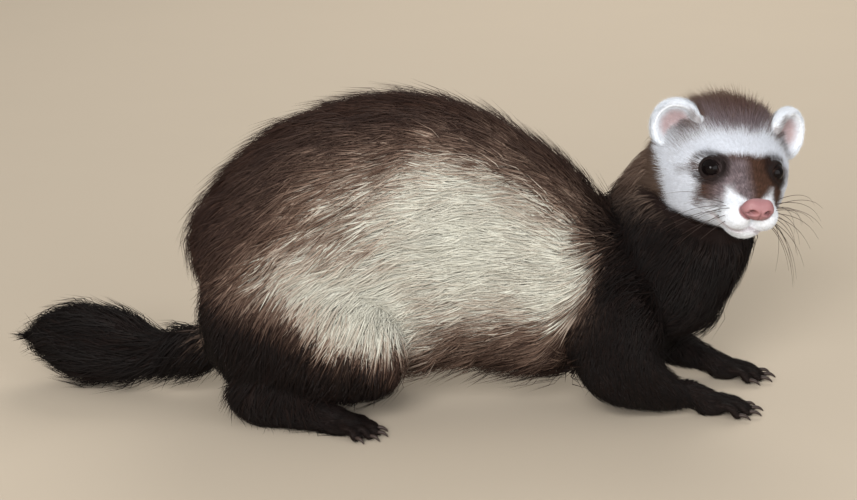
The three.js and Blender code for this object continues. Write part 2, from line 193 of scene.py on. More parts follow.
TORSO = Tube(
    [
        (-96, 2, 50, 27, 24, 26),
        (-89, 1, 54, 37, 35, 37),
        (-72, 0, 64, 44, 46, 50),
        (-40, 0, 81, 46, 57, 66),
        (-6, 0, 87, 46, 58, 72),
        (30, 0, 78, 44, 49, 64),
        (62, 1, 62, 40, 40, 51),
        (92, 3, 50, 35, 34, 40),
        (124, 5, 40, 27, 24, 27),
    ],
    start=0.14,
    coat=7.0,
)
NECK = Tube(
    [
        (84, 3, 40, 32, 34, 36),
        (99, 4, 60, 32, 38, 38),
        (113, 5, 82, 30, 36, 37),
        (122, 7, 100, 29, 33, 33),
        (129, 11, 120, 27, 28, 27),
        (134, 14, 143, 24, 22, 22),
    ],
    upward=(-0.75, 0.35, 0.5),
    end=0.25,
    coat=5.0,
)
TAIL = Tube(
    [
        (-196, 31, 20, 3, 3, 3),
        (-180, 26, 21.5, 11, 11, 11),
        (-162, 20, 22, 18.5, 19.5, 22),
        (-145, 14.5, 21, 19, 19.5, 21),
        (-121, 7, 20.5, 14, 14, 14),
        (-103, 2, 25, 14, 15, 15),
        (-86, 0, 40, 14, 15, 15),
    ],
    start=0.1,
    end=0.1,
    coat=8.5,
)
FORELEGS = {
    "right": Tube(
        [
            (70, -12, 66, 16, 24, 20),
            (78, -23, 47, 17, 24, 22),
            (86, -29, 29, 14, 19, 21),
            (100, -26, 18, 10.5, 11, 15),
            (113, -22, 11, 7.5, 7, 9),
            (124, -19, 8, 6.5, 6, 6.5),
        ],
        upward=(0.6, 0, 0.8),
        coat=2.4,
    ),
    "left": Tube(
        [
            (76, 16, 66, 16, 24, 20),
            (85, 26, 47, 15, 22, 22),
            (97, 31, 30, 12, 16, 18),
            (112, 31, 19, 9.5, 11, 13),
            (125, 30, 12, 8, 8, 9),
            (135, 28.5, 8.5, 7, 6.5, 6.5),
        ],
        upward=(0.6, 0, 0.8),
        coat=2.4,
    ),
}
THIGHS = {
    name: Tube(
        [
            (-99, s * 22, 34, 13, 18, 20),
            (-87, s * 25, 39, 19, 30, 32),
            (-62, s * 29, 44, 21, 35, 36),
            (-38, s * 34, 38, 19, 29, 31),
            (-18, s * 38, 29, 13, 18, 19),
            (-8, s * 39, 25, 9, 12, 12),
        ],
        end=0.3,
        coat=5.0,
    )
    for name, s in SIDES.items()
}
HIND_FEET = {
    name: Tube(
        [
            (-91, s * 31, 16, 9, 13, 11),
            (-76, s * 33, 12, 10, 12, 12),
            (-57, s * 37, 8, 9, 9, 8),
            (-43, s * 41, 6.5, 9, 7, 6.8),
            (-33, s * 43.5, 5.5, 8.5, 5.5, 6),
        ],
        start=0.3,
        coat=1.6,
    )
    for name, s in SIDES.items()
}
PAWS = {  # centre, heading, palm's radii, toe's length, claw's length
    "forepaw_right": ((127.5, -18.5, 5.6), 4, (9, 8, 6.6), 13, 5),
    "forepaw_left": ((139.5, 28, 5.6), -3, (9, 8, 6.6), 13, 5),
    "hind_right": ((-38.5, -42.6, 5.1), -16, (10, 8.6, 6), 11, 4),
    "hind_left": ((-38.5, 42.6, 5.1), 16, (10, 8.6, 6), 11, 4),
}
TOE = 2.4

# The head, in its own frame: +X to the nose, +Y to its left, +Z to the crown
HEAD_FRAME = Matrix.Translation((131.5, -9, 112.8)) @ (
    Matrix.Rotation(math.radians(-76), 4, "Z")
    @ Matrix.Rotation(math.radians(10), 4, "Y")
    @ Matrix.Rotation(math.radians(-8), 4, "X")
)
HEAD_TURN = np.array(HEAD_FRAME.to_3x3())
HEAD_AT = np.array(HEAD_FRAME.translation)
SKULL = Tube(
    [
        (-37, 0, -2, 20, 20, 18),
        (-24, 0, -2, 28.5, 28.5, 22),
        (-9, 0, -2, 31.5, 27.5, 24),
        (4, 0, -3, 29.5, 23.5, 24),
        (13, 0, -3.5, 25, 18.5, 22),
        (22, 0, -4.5, 18, 13.5, 17.5),
        (30, 0, -6, 13, 10, 12.5),
        (37, 0, -7, 9.5, 7.5, 8.5),
    ],
    start=0.3,
    end=0.16,
    coat=1.8,
    jowl=2.9,
)
MUZZLE = [  # whisker pads and chin: centre and radii
    ((31.5, 6, -8), (7.6, 7.2, 6.6)),
    ((31.5, -6, -8), (7.6, 7.2, 6.6)),
    ((26, 0, -14.5), (10, 8.5, 6.2)),
]
EYE = (15.5, 14.5, 5.5)
EYE_FACING = (0.76, 0.6, 0.22)
EYE_RADIUS = 4.5
NOSE = (38.5, 0, -2.5)
EARS = {-1: (-10, -23.5, 13.2), 1: (-10, 28.5, 13.2)}
EAR_FACING = (0.8, 0.5, 0.2)
EAR_RADII = (5.6, 11.6, 12.2)
EAR_HOLLOW = (6.6, 9.3, 9.8)


def to_head(points):
    """Points of the model in the head's own frame."""
    return (points - HEAD_AT) @ HEAD_TURN


def from_head(points):
    return points @ HEAD_TURN.T + HEAD_AT


def mirrored(point, side):
    return np.array([point[0], point[1] * side, point[2]], float)


# Meshes and materials


def mesh_object(name, bm):
    """A bmesh as an object at the origin, still in millimetres."""
    mesh = bpy.data.meshes.new(name)
    bmesh.ops.recalc_face_normals(bm, faces=bm.faces[:])
    bm.to_mesh(mesh)
    bm.free()
    shaped = bpy.data.objects.new(name, mesh)
    bpy.context.scene.collection.objects.link(shaped)
    return shaped


def above_floor(points, height):
    """Points with none of them lower than a height."""
    return np.column_stack([points[:, :2], np.maximum(points[:, 2], height)])


def settle(shaped):
    """Replaces an object's mesh by the result of its modifiers."""
    graph = bpy.context.evaluated_depsgraph_get()
    made = bpy.data.meshes.new_from_object(shaped.evaluated_get(graph))
    shaped.modifiers.clear()
    old = shaped.data
    shaped.data = made
    bpy.data.meshes.remove(old)
    return shaped


def modified(shaped, kind, **settings):
    """Adds one modifier and applies it."""
    modifier = shaped.modifiers.new(kind.title(), kind)
    for key, value in settings.items():
        setattr(modifier, key, value)
    return settle(shaped)


def cut(shaped, cutter, operation="DIFFERENCE"):
    """Cuts one object by another, or joins it, and uses the other up."""
    modified(shaped, "BOOLEAN", solver="MANIFOLD", operation=operation, object=cutter)
    bpy.data.objects.remove(cutter)
    return shaped


def points_of(mesh, kind="co"):
    """The places of a mesh's vertices as an array, or their normals."""
    flat = np.zeros(len(mesh.vertices) * 3, np.float32)
    mesh.vertices.foreach_get(kind, flat)
    return flat.reshape(-1, 3).astype(float)


def set_points(mesh, points):
    mesh.vertices.foreach_set("co", np.asarray(points, np.float32).ravel())
    mesh.update()


def to_metres(shaped):
    """Puts a shaped piece into metres, in the solids' own frame."""
    set_points(shaped.data, (points_of(shaped.data) + SHIFT) * MM)
    return shaped


def paint(mesh, colours):
    """Gives each vertex of a mesh its own linear colour, under the name that the materials read."""
    attribute = mesh.color_attributes.new(COLOUR_LAYER, "FLOAT_COLOR", "POINT")
    values = np.ones((len(mesh.vertices), 4), np.float32)
    values[:, :3] = colours
    attribute.data.foreach_set("color", values.ravel())


def hand_over(shaped, slot, material, *nodes, smooth=True):
    """Gives a finished piece its material and hides the solids that it stands for. Its slot is not used.
    """
    shaped.data.materials.clear()
    shaped.data.materials.append(material)
    if smooth:
        shaped.data.shade_smooth()
    else:
        shaped.data.shade_flat()
    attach(shaped, ROOT)
    if nodes:
        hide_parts(*nodes)


class Value:
    """A socket of a shader, with the arithmetic of Math nodes."""

    def __init__(self, shader, socket):
        self.shader = shader
        self.socket = socket

    def math(self, operation, *others):
        values = {i: other for i, other in enumerate((self, *others))}
        return self.shader.node("ShaderNodeMath", {"operation": operation}, values)

    def __add__(self, other):
        return self.math("ADD", other)

    def __mul__(self, other):
        return self.math("MULTIPLY", other)



class Shader:
    """A material and the nodes that are added to it."""

    def __init__(self, name):
        self.material = bpy.data.materials.new(name)
        self.material.use_nodes = True
        self.tree = self.material.node_tree
        self.surface = self.tree.nodes["Principled BSDF"]

    def node(self, kind, settings=None, values=None, output=0):
        """Adds a node, sets its settings and then its sockets, and wraps one output."""
        made = self.tree.nodes.new(kind)
        for key, value in (settings or {}).items():
            setattr(made, key, value)
        self.feed(made, values or {})
        return Value(self, made.outputs[output])

    def feed(self, made, values):
        for key, value in values.items():
            if isinstance(value, Value):
                self.tree.links.new(value.socket, made.inputs[key])
            else:
                made.inputs[key].default_value = value

    def attribute(self, name):
        return self.node("ShaderNodeAttribute", {"attribute_name": name})

    def noise(self, scale, detail=2.0, stretch=(1.0, 1.0, 1.0)):
        place = self.node("ShaderNodeTexCoord", output="Object")
        spread = self.node("ShaderNodeMapping", None, {"Vector": place, "Scale": stretch})
        return self.node(
            "ShaderNodeTexNoise", None, {"Vector": spread, "Scale": scale, "Detail": detail}
        )

    def mix(self, share, first, second):
        """A colour part of the way from one to another. 6 and 7 are the node's colour sockets."""
        return self.node(
            "ShaderNodeMix", {"data_type": "RGBA"}, {"Factor": share, 6: first, 7: second}, output=2
        )

    def bump(self, height, distance, strength=1.0):
        return self.node(
            "ShaderNodeBump", None, {"Height": height, "Distance": distance, "Strength": strength}
        )

    def finish(self, values):
        self.feed(self.surface, values)
        return self.material


def rgba(colour):
    return (*colour, 1.0)


def linear(*srgb):
    """A colour of 0 to 255 as linear light."""
    value = np.array(srgb) / 255
    return np.where(value <= 0.04045, value / 12.92, ((value + 0.055) / 1.055) ** 2.4)


# Markings


CREAM = linear(204, 203, 191)
WHITE = linear(222, 227, 236)
SNOW = linear(240, 245, 252)
TAWNY = linear(158, 134, 118)
BROWN = linear(98, 74, 61)
GREY = linear(120, 108, 112)
UMBER = linear(62, 43, 35)
DARK = linear(34, 22, 19)
BLACK = linear(9, 7, 7)
PINK = linear(148, 105, 108)
EAR_SKIN = linear(212, 190, 192)

# Pale patches on the side of the body, as (X, height as the eye sees it), radii and strength
FLANK = [
    ((14, 70), (24, 23), 4.8),
    ((-45, 53), (26, 12.5), 2.4),
    ((-15, 83), (35, 20), 1.25),
    ((-26.5, 39), (17.5, 12), 4.0),
    ((50, 57), (13, 17.5), 3.0),
]
TILT = math.radians(17)  # of the view, down from the level
BROW_TILT = math.radians(27)  # of the slope of the forehead, back from upright


def blend(share, first, second):
    """For each share from 0 to 1, a colour that far from the first to the second."""
    return first + (second - first) * np.asarray(share)[:, None]


def shades(share, *colours):
    """A colour along an even ramp of several."""
    spot = np.clip(share, 0, 1) * (len(colours) - 1)
    low = np.minimum(spot.astype(int), len(colours) - 2)
    ramp = np.array(colours)
    return blend(spot - low, ramp[low], ramp[low + 1])


def seen_height(points):
    """How high a point of the right side looks in the view, and the same for its mirror image."""
    return points[:, 2] * math.cos(TILT) - np.abs(points[:, 1]) * math.sin(TILT)


def brow_height(local):
    """How far up the slope of the forehead a point of the head lies."""
    return local[:, 2] * math.cos(BROW_TILT) - local[:, 0] * math.sin(BROW_TILT)


def eye_distance(local):
    """How far a point of the head is from the nearer eye's centre."""
    return np.min([np.linalg.norm(local - mirrored(EYE, s), axis=1) for s in SIDES.values()], axis=0)


def paleness(points):
    """How pale the coat of the body is, from 0 on the dark points to 1 on the flank."""
    wave = ripple(points, 24, 4) * 2.0
    flat = (points[:, 0] + wave, seen_height(points) + wave)
    return 1 - np.exp(-sum(power * blob(flat, centre, radii) for centre, radii, power in FLANK))


def face_tone(local, grain):
    """On the head: shares of the crown's cap, the mask, the coat behind the face and the throat."""
    x, y, z = local.T
    side = np.abs(y)
    wave = ripple(local, 9, 8)
    seen = brow_height(local)
    cap = smoothstep(12.5, 19.5, seen + 0.8 * wave - 0.04 * side)
    front = smoothstep(4, 10, x)
    across = side + 0.6 * wave
    band = 1.15 - ((across / 22.5) ** 4 + np.abs((seen + 2.6) / 7.4) ** 4)
    narrowing = 3.6 + 1.5 * np.maximum(seen + 15.5, 0)
    bridge = 1.3 - side / narrowing - 1.5 * smoothstep(-15, -19, seen)
    bridge = np.where(seen < 0, bridge, -1.0)
    tear = 1.25 - np.hypot((side - 15.5) / 5.0, (seen + 11.5) / 7.0)
    mask = smoothstep(-0.1, 0.75, np.maximum(np.maximum(band, bridge), tear) + 0.12 * wave) * front
    edge = -11 + 12 * smoothstep(6, -14, z)
    behind = smoothstep(-3.5, 3.5, edge - x + wave)
    throat = smoothstep(16.5, 20.5, -z + 0.5 * wave) * smoothstep(24, 16, x)
    return [grizzled(share, grain) for share in (cap, mask, behind, throat)]


def grizzled(share, grain):
    """A share that wavers from hair to hair where one colour gives way to another."""
    return np.clip(share + grain * share * (1 - share) * 1.3, 0, 1)


def markings(points, kinds, grain=0.0):
    """The colour of the undercoat and of the guard hair over it, at points on the skin. grain is
    how far each hair strays from its neighbours."""
    local = to_head(points)
    near_side = smoothstep(84, 112, points[:, 2]) * smoothstep(122, 102, points[:, 0])
    nape = np.maximum(near_side, smoothstep(94, 122, points[:, 2]))
    under, guard = body_tones(points, kinds, grain, nape)
    face, over = head_tones(local, grain, nape)
    on_head = (kinds == "head")[:, None]
    under = np.where(on_head, face, under)
    guard = np.where(on_head, over, guard)
    return ear_tones(local, kinds, grain, under, guard)


def body_tones(points, kinds, grain, nape):
    """Pale flanks and haunches under a dark back, with near-black legs, tail and neck, and a belly that
    darkens towards the floor, partly dark hair and partly painted shade.
    """
    pale = grizzled(paleness(points), 0.6 * grain)
    under = shades(pale, UMBER, TAWNY * 0.8, CREAM, CREAM)
    guard = shades(pale**0.85, DARK, UMBER, BROWN, TAWNY, CREAM)
    limbs = np.isin(kinds, ("foreleg", "paw", "foot", "tail", "neck"))
    dark_parts = np.maximum(limbs, smoothstep(48, 78, points[:, 0]) * (kinds == "torso"))
    seen = seen_height(points)
    thigh_line = 44 - 0.43 * (points[:, 0] + 97)
    below = smoothstep(8, -5, seen - thigh_line) * smoothstep(0, -14, points[:, 0])
    # The belly darkens the lower it is seen: partly its dark hair, partly painted shade on the underside
    belly = smoothstep(32, 14, seen) * (kinds == "torso")
    dark = np.maximum.reduce([0.96 * dark_parts, 0.9 * below, 0.85 * belly]) * (1 - pale) ** 2
    under = blend(dark, under, 0.35 * DARK)
    guard = blend(dark, guard, BLACK)
    on_neck = (kinds == "neck") * nape
    under = blend(0.8 * on_neck, under, TAWNY * 0.7)
    guard = blend(0.7 * on_neck, guard, BROWN)
    tail_root = smoothstep(0.0, 1.0, blob(points.T, (-101, -8, 34), (8, 12, 9)))
    return blend(0.6 * tail_root, under, TAWNY), guard


def head_tones(local, grain, nape):
    """A white face with a dark mask that carries a painted sheen, pink lips and a brown crown, dark
    behind and below.
    """
    cap, mask, behind, throat = face_tone(local, grain)
    snout = smoothstep(16, 26, local[:, 0])
    height = brow_height(local)
    brow = smoothstep(28, 18, height)
    # middle is a greyer patch on the mask's right side, nearer the camera: painted sheen where the fur
    # faces the lamps
    middle = smoothstep(11, 4, np.abs(local[:, 1] + 8)) * smoothstep(5, 0, height)
    pale_hair = np.where(np.abs(grain) > 1.1, 1.7, 1.0)[..., None]
    streaks = ripple(local * np.array([0.5, 1.0, 1.0]), 1.7, 43)
    fleck = 1 + 0.3 * np.clip(streaks, -1.2, 1.6)[:, None]
    crown = blend(brow, linear(88, 58, 46), GREY)
    patch = blend(middle, linear(78, 54, 42), GREY)
    face = blend(cap, blend(snout, WHITE, SNOW), crown * fleck)
    face = blend(mask, face, patch * pale_hair * fleck)
    off_line = (local[:, 2] - mouth_line(*local.T[:2])) / 1.2
    lips = np.exp(-(off_line**2)) * smoothstep(20, 26, local[:, 0])
    face = blend(0.5 * lips, face, PINK)
    rear = blend(0.8 * nape, 0.5 * DARK, TAWNY * 0.6)
    face = blend(throat, blend(behind, face, rear), DARK)
    over = blend(cap, face, blend(brow, 0.8 * UMBER, 0.75 * GREY))
    over = blend(mask, over, UMBER)
    rear = blend(0.8 * nape, BLACK, BROWN)
    over = blend(throat, blend(behind, over, rear), DARK)
    shade = 0.85 * smoothstep(9.5, 6.5, eye_distance(local))
    return blend(shade, face, DARK), blend(shade, over, DARK)


def ear_tones(local, kinds, grain, under, guard):
    """Adds white ears with pink cups, and the brown hair where they grow from the head."""
    inside, crownward = ear_cup(local)
    is_ear = kinds == "ear"
    ear = is_ear[:, None]
    cup = blend(smoothstep(0.3, 4.5, inside), SNOW, EAR_SKIN)
    corner = (local[:, 0], np.abs(local[:, 1]), local[:, 2])
    root = blob(corner, (-4, 19.5, 17), (6, 4.5, 6)) + blob(corner, (-5, 23.5, 9), (6, 4, 6))
    root = grizzled(np.minimum(root, 1), grain) * (kinds == "head")
    guard = np.where(ear, blend(0.9 * crownward, cup, BROWN), blend(root, guard, UMBER))
    brown = np.where(is_ear, 0.6 * crownward, 0.7 * root)
    return blend(brown, np.where(ear, cup, under), BROWN), guard


def ear_turn(side):
    facing = Vector(mirrored(EAR_FACING, side))
    return Vector((1, 0, 0)).rotation_difference(facing).to_matrix()


def ear_depth(local):
    """For points on the head, the depth in the nearer ear: 1 on its outside."""
    best = np.full(len(local), np.inf)
    for side in SIDES.values():
        turned = (local - np.array(EARS[side])) @ np.array(ear_turn(side))
        best = np.minimum(best, np.linalg.norm(turned / np.array(EAR_RADII), axis=1))
    return best


def ear_cup(local):
    """How far a point lies inside the rim of an ear's cup, and its share of the crown's side."""
    best = np.full(len(local), -9.0)
    crownward = np.zeros(len(local))
    for side in SIDES.values():
        turned = (local - np.array(EARS[side])) @ np.array(ear_turn(side))
        radial = np.linalg.norm(turned[:, 1:], axis=1)
        inside = np.where(turned[:, 0] > -4.5, 8.8 - radial, -9.0)
        share = smoothstep(1.5, 6.5, -side * turned[:, 1] - 0.4 * turned[:, 2]) * (inside > -2.5)
        crownward = np.where(inside > best, share, crownward)
        best = np.maximum(best, inside)
    return best, crownward


# Where each kind of coat grows, and how its hair lies

TUBES = {"torso": [TORSO], "neck": [NECK], "tail": [TAIL]}
TUBES["foreleg"] = list(FORELEGS.values())
TUBES["thigh"] = list(THIGHS.values())
TUBES["foot"] = list(HIND_FEET.values())
DOWN = np.array([0.0, 0.0, -1.0])


def lie_of(kind, tube, t, angle):
    """The direction in which hair lies on a tube."""
    along, _, _ = tube.axes(t)
    low = np.clip(-np.sin(angle), -0.2, 1)[:, None]
    if kind == "torso":
        rump = smoothstep(0.3, 0.04, t)[:, None]
        return -along + DOWN * (0.35 + 0.25 * low + 1.3 * rump)
    if kind == "neck":
        return -along + 0.15 * DOWN
    if kind == "tail":
        return -along
    if kind == "foreleg":
        return along + np.array([-0.3, 0, -0.2])
    if kind == "thigh":
        return -0.35 * along + DOWN
    return along


def survey(points):
    """For points on the skin: their kind, the lie of their hair, t and angle."""
    count = len(points)
    depths, flows, kinds, spots, turns = [], [], [], [], []
    for kind, tubes in TUBES.items():
        for tube in tubes:
            depth, t, angle = tube.locate(points)
            depths.append(depth)
            flows.append(lie_of(kind, tube, t, angle))
            kinds.append(kind)
            spots.append(t)
            turns.append(angle)
    local = to_head(points)
    depth, t, angle = SKULL.locate(local)
    by_head = smoothstep(1.16, 1.0, depth) * smoothstep(-16, -9, local[:, 0])
    depths[kinds.index("neck")] += 0.6 * by_head
    front = np.array([-1.0, 0.0, 0.0]) * np.ones((count, 1))
    front[:, 1] = 0.35 * np.sign(local[:, 1]) * smoothstep(0, 10, np.abs(local[:, 1]))
    front[:, 2] = -0.35 * smoothstep(8, -8, local[:, 2])
    pads = np.min(
        [np.linalg.norm((local - np.array(c)) / np.array(r), axis=1) for c, r in MUZZLE], axis=0
    )
    depths.append(np.minimum(depth, pads * 0.98))
    flows.append(front @ HEAD_TURN.T)
    kinds.append("head")
    spots.append(t)
    turns.append(angle)
    ear = ear_depth(local)
    outward = np.zeros((count, 3))
    outward[:, 1] = np.sign(local[:, 1])
    outward[:, 2] = 0.8
    depths.append(np.where(ear < 1.12, 0.5 * ear, 9.0))
    flows.append(outward @ HEAD_TURN.T)
    kinds.append("ear")
    spots.append(t)
    turns.append(angle)
    for centre, heading, radii, length, _ in PAWS.values():
        turn = math.radians(heading)
        ahead = np.array([math.cos(turn), math.sin(turn), 0.0])
        away = points - np.array(centre)
        across = np.abs(away @ np.array([-ahead[1], ahead[0], 0.0])) / (radii[1] + 3)
        far = np.maximum(away @ ahead, 0) / (radii[0] + length)
        back = np.maximum(-(away @ ahead), 0) / (radii[0] * 0.7)
        depth = np.sqrt(across**2 + (away[:, 2] / 9) ** 2 + far**2 + back**2)
        depths.append(depth * 0.95)
        flows.append(np.tile(ahead + DOWN * 0.15, (count, 1)))
        kinds.append("paw")
        spots.append(np.clip(0.5 + (away @ ahead) / 40, 0, 1))
        turns.append(np.arctan2(away[:, 2], away @ np.array([-ahead[1], ahead[0], 0.0])))
    depths = np.array(depths)
    nearest = depths.argmin(0)
    weights = np.exp(-(depths - depths.min(0)) / 0.14)
    lie = (weights[:, :, None] * np.array([unit(f) for f in flows])).sum(0)
    index = np.arange(count)
    return (
        np.array(kinds)[nearest],
        unit(lie),
        np.array(spots)[nearest, index],
        np.array(turns)[nearest, index],
    )


# Pieces


def add_ball(bm, centre, radii, turn=None, across=32, along=20):
    ball = bmesh.ops.create_uvsphere(bm, u_segments=across, v_segments=along, radius=1)["verts"]
    turning = turn.to_4x4() if turn else Matrix()
    matrix = Matrix.Translation(centre) @ turning @ Matrix.Diagonal((*radii, 1))
    bmesh.ops.transform(bm, matrix=matrix, verts=ball)
    return ball


def toe_stations(paw, index):
    """A toe's tube and its claw's, fanned round the paw's heading."""
    (x, y, z), heading, radii, length, claw = PAWS[paw]
    turn = math.radians(heading)
    ahead = radii[0] * (0.66 - 0.07 * index * index)
    aside = index * radii[1] * 0.4
    root_x = x + ahead * math.cos(turn) - aside * math.sin(turn)
    root_y = y + ahead * math.sin(turn) + aside * math.cos(turn)
    toe_turn = math.radians(heading + index * 11)
    reach = length * (1 - 0.09 * index * index)

    def station(far, height, radius):
        place = (root_x + far * math.cos(toe_turn), root_y + far * math.sin(toe_turn), height)
        return (*place, radius, radius, radius)

    toe = [
        station(-3, z, TOE),
        station(reach * 0.35, z * 0.9 + 0.8, TOE * 0.92),
        station(reach * 0.62, z * 0.6 + 1.2, TOE * 0.98),
        station(reach * 0.85, 2.3, TOE * 0.95),
        station(reach + 1.2, 1.9, TOE * 0.72),
    ]
    nail = [
        station(reach - 1.0, 2.7, 0.95),
        station(reach + claw * 0.45, 2.6, 0.8),
        station(reach + claw * 0.8, 1.7, 0.5),
        station(reach + claw, 0.75, 0.2),
    ]
    return toe, nail


def wrist_stations(name):
    """The tube that runs from the foreleg's end down into the palm."""
    (x, y, _), heading, _, _, _ = PAWS["forepaw_" + name]
    turn = math.radians(heading)
    steps = ((-15, 12.5, 6.0, 5.6), (-8, 9.2, 6.0, 5.2), (-1, 6.2, 6.4, 4.8), (6, 4.6, 6.0, 3.8))
    return [
        (x + far * math.cos(turn), y + far * math.sin(turn), height, wide, thick, thick)
        for far, height, wide, thick in steps
    ]


def build_body():
    """The trunk, tail and limbs as one closed form, softened where they meet above the feet."""
    bm = bmesh.new()
    for tube in (TORSO, NECK, TAIL, *FORELEGS.values(), *THIGHS.values(), *HIND_FEET.values()):
        tube.add(bm)
    body = mesh_object("body", bm)
    modified(body, "REMESH", mode="VOXEL", voxel_size=1.5)
    at = points_of(body.data)
    clear_of_tail = np.maximum(smoothstep(-97, -88, at[:, 0]), smoothstep(42, 50, at[:, 2]))
    soft = smoothstep(12, 26, at[:, 2]) * clear_of_tail
    group = body.vertex_groups.new(name="soft")
    for index in np.flatnonzero(soft > 0.05):
        group.add([int(index)], float(soft[index]), "REPLACE")
    modified(body, "SMOOTH", factor=0.5, iterations=34, vertex_group="soft")
    bm = bmesh.new()
    for paw, (centre, heading, radii, _, _) in PAWS.items():
        turn = Matrix.Rotation(math.radians(heading), 3, "Z")
        low = 0.8 if paw.startswith("fore") else 0.0
        palm = Vector(centre) - Vector((0, 0, low))
        add_ball(bm, palm, [radii[0] - 1.0, radii[1] - 1.0, radii[2] - 1.0 - low], turn)
        for index in range(-2, 3):
            toe, _ = toe_stations(paw, index)
            Tube(toe, start=0.15, end=0.3).add(bm, 0.45, 16, 18)
    for name in FORELEGS:
        Tube(wrist_stations(name)).add(bm, 0.0, 24, 24)
    bm.from_mesh(body.data)
    bpy.data.objects.remove(body)
    body = mesh_object("body", bm)
    modified(body, "REMESH", mode="VOXEL", voxel_size=1.0)
    modified(body, "SMOOTH", factor=0.5, iterations=4)
    set_points(body.data, above_floor(points_of(body.data), 0.0))
    return modified(body, "DECIMATE", ratio=0.4)


def build_head():
    """The head with its ears and eye sockets, in its place on the body."""
    bm = bmesh.new()
    SKULL.add(bm, across=48, along=48)
    for centre, radii in MUZZLE:
        add_ball(bm, centre, radii)
    for side in SIDES.values():
        facing = Vector(mirrored(EYE_FACING, side)).normalized()
        turn = Vector((0, 0, 1)).rotation_difference(facing).to_matrix()
        middle = Vector(mirrored(EYE, side)) + facing * 1.7
        add_ball(bm, middle - facing * 2.0, (6.6, 6.0, 3.1), turn)
    head = mesh_object("head_form", bm)
    modified(head, "REMESH", mode="VOXEL", voxel_size=0.9)
    modified(head, "SMOOTH", factor=0.5, iterations=6)
    ears = bmesh.new()
    for side in SIDES.values():
        add_ball(ears, EARS[side], EAR_RADII, ear_turn(side), 40, 28)
    shells = mesh_object("ear_form", ears)
    hollows = bmesh.new()
    for side in SIDES.values():
        axis = Vector(mirrored(EAR_FACING, side)).normalized()
        centre = Vector(EARS[side]) + axis * 4.7
        add_ball(hollows, centre, EAR_HOLLOW, ear_turn(side), 40, 28)
    cut(shells, mesh_object("ear_hollow", hollows))
    cut(head, shells, "UNION")
    modified(head, "REMESH", mode="VOXEL", voxel_size=0.6)
    modified(head, "SMOOTH", factor=0.5, iterations=3)
    shape_face(head)
    sockets = bmesh.new()
    for side in SIDES.values():
        add_ball(sockets, mirrored(EYE, side), [EYE_RADIUS + 0.06] * 3)
    cut(head, mesh_object("socket_form", sockets))
    set_points(head.data, from_head(points_of(head.data)))
    return head


def shape_face(head):
    """Draws lids, lips, the line of the mouth and a dip for the nose into the head."""
    at = points_of(head.data)
    out = points_of(head.data, "normal")
    push = np.zeros(len(at))
    for side in SIDES.values():
        facing = unit(mirrored(EYE_FACING, side))
        away = at - mirrored(EYE, side)
        depth = away @ facing
        sideways = away - depth[:, None] * facing
        radius = np.linalg.norm(sideways * np.array([1, 1, 1.12]), axis=1)
        front = depth > -1
        push += np.where(front, 0.5 * np.exp(-(((radius - 4.9) / 0.8) ** 2)), 0)
        push -= np.where(front, 0.35 * np.exp(-(((radius - 6.9) / 1.0) ** 2)), 0)
    x, y, z = at.T
    line = mouth_line(x, y)
    mouth = (x > 17) & (np.abs(out[:, 2]) < 0.97)
    push -= np.where(mouth, 0.6 * np.exp(-(((z - line) / 0.55) ** 2)), 0)
    push += np.where(mouth, 0.35 * np.exp(-(((np.abs(z - line) - 1.3) / 0.6) ** 2)), 0)
    cleft = (x > 33) & (z < -5) & (z > -13)
    push -= np.where(cleft, 0.35 * np.exp(-((y / 0.5) ** 2)), 0)
    set_points(head.data, at + out * push[:, None])


def mouth_line(x, y):
    """The height of the mouth's line on the head."""
    dip = 2.0 * np.sin(np.clip(np.abs(y) / 12, 0, 1) * np.pi) ** 1.5
    return -12.9 - dip + 0.1 * np.maximum(30 - x, 0)


def build_skin():
    """The one skin of head and body, smoothed round the join."""
    head = build_head()
    body = build_body()
    cut(body, head, "UNION")
    bm = bmesh.new()
    bm.from_mesh(body.data)
    local = to_head(np.array([v.co for v in bm.verts]))
    ring = (local[:, 0] < -6) & (local[:, 0] > -34) & (ear_depth(local) > 1.3)
    join = [v for v, near in zip(bm.verts, ring) if near]
    every_way = {f"use_axis_{axis}": True for axis in "xyz"}
    for _ in range(6):
        bmesh.ops.smooth_vert(bm, verts=join, factor=0.5, **every_way)
    bmesh.ops.triangulate(bm, faces=bm.faces[:])
    bpy.data.objects.remove(body)
    return mesh_object("skin", bm)


# Coat


class Ground:
    """The finished skin as arrays, with the nearest point on it to any other."""

    def __init__(self, skin):
        mesh = skin.data
        self.points = points_of(mesh)
        self.normals = points_of(mesh, "normal")
        corners = np.zeros(len(mesh.polygons) * 3, np.int32)
        mesh.polygons.foreach_get("vertices", corners)
        self.corners = corners.reshape(-1, 3)
        self.tree = kdtree.KDTree(len(self.points))
        for i, point in enumerate(self.points):
            self.tree.insert(point, i)
        self.tree.balance()

    def nearest(self, points):
        found = np.array([self.tree.find(p)[1] for p in points])
        return self.points[found], self.normals[found]

    def scatter(self, count, weights, random):
        """Points spread over the skin, with as many on each face as its weight says."""
        a, b, c = (self.points[self.corners[:, k]] for k in range(3))
        area = np.linalg.norm(np.cross(b - a, c - a), axis=1) / 2
        share = np.cumsum(area * weights)
        spots = (np.arange(count) + random.random(count)) / count * share[-1]
        face = np.minimum(np.searchsorted(share, spots), len(share) - 1)
        u, v = np.sqrt(random.random(count)), random.random(count)
        mixed = [(1 - u), u * (1 - v), u * v]
        parts = [self.corners[face, k] for k in range(3)]
        place = sum(m[:, None] * self.points[p] for m, p in zip(mixed, parts))
        normal = unit(sum(m[:, None] * self.normals[p] for m, p in zip(mixed, parts)))
        return place, normal


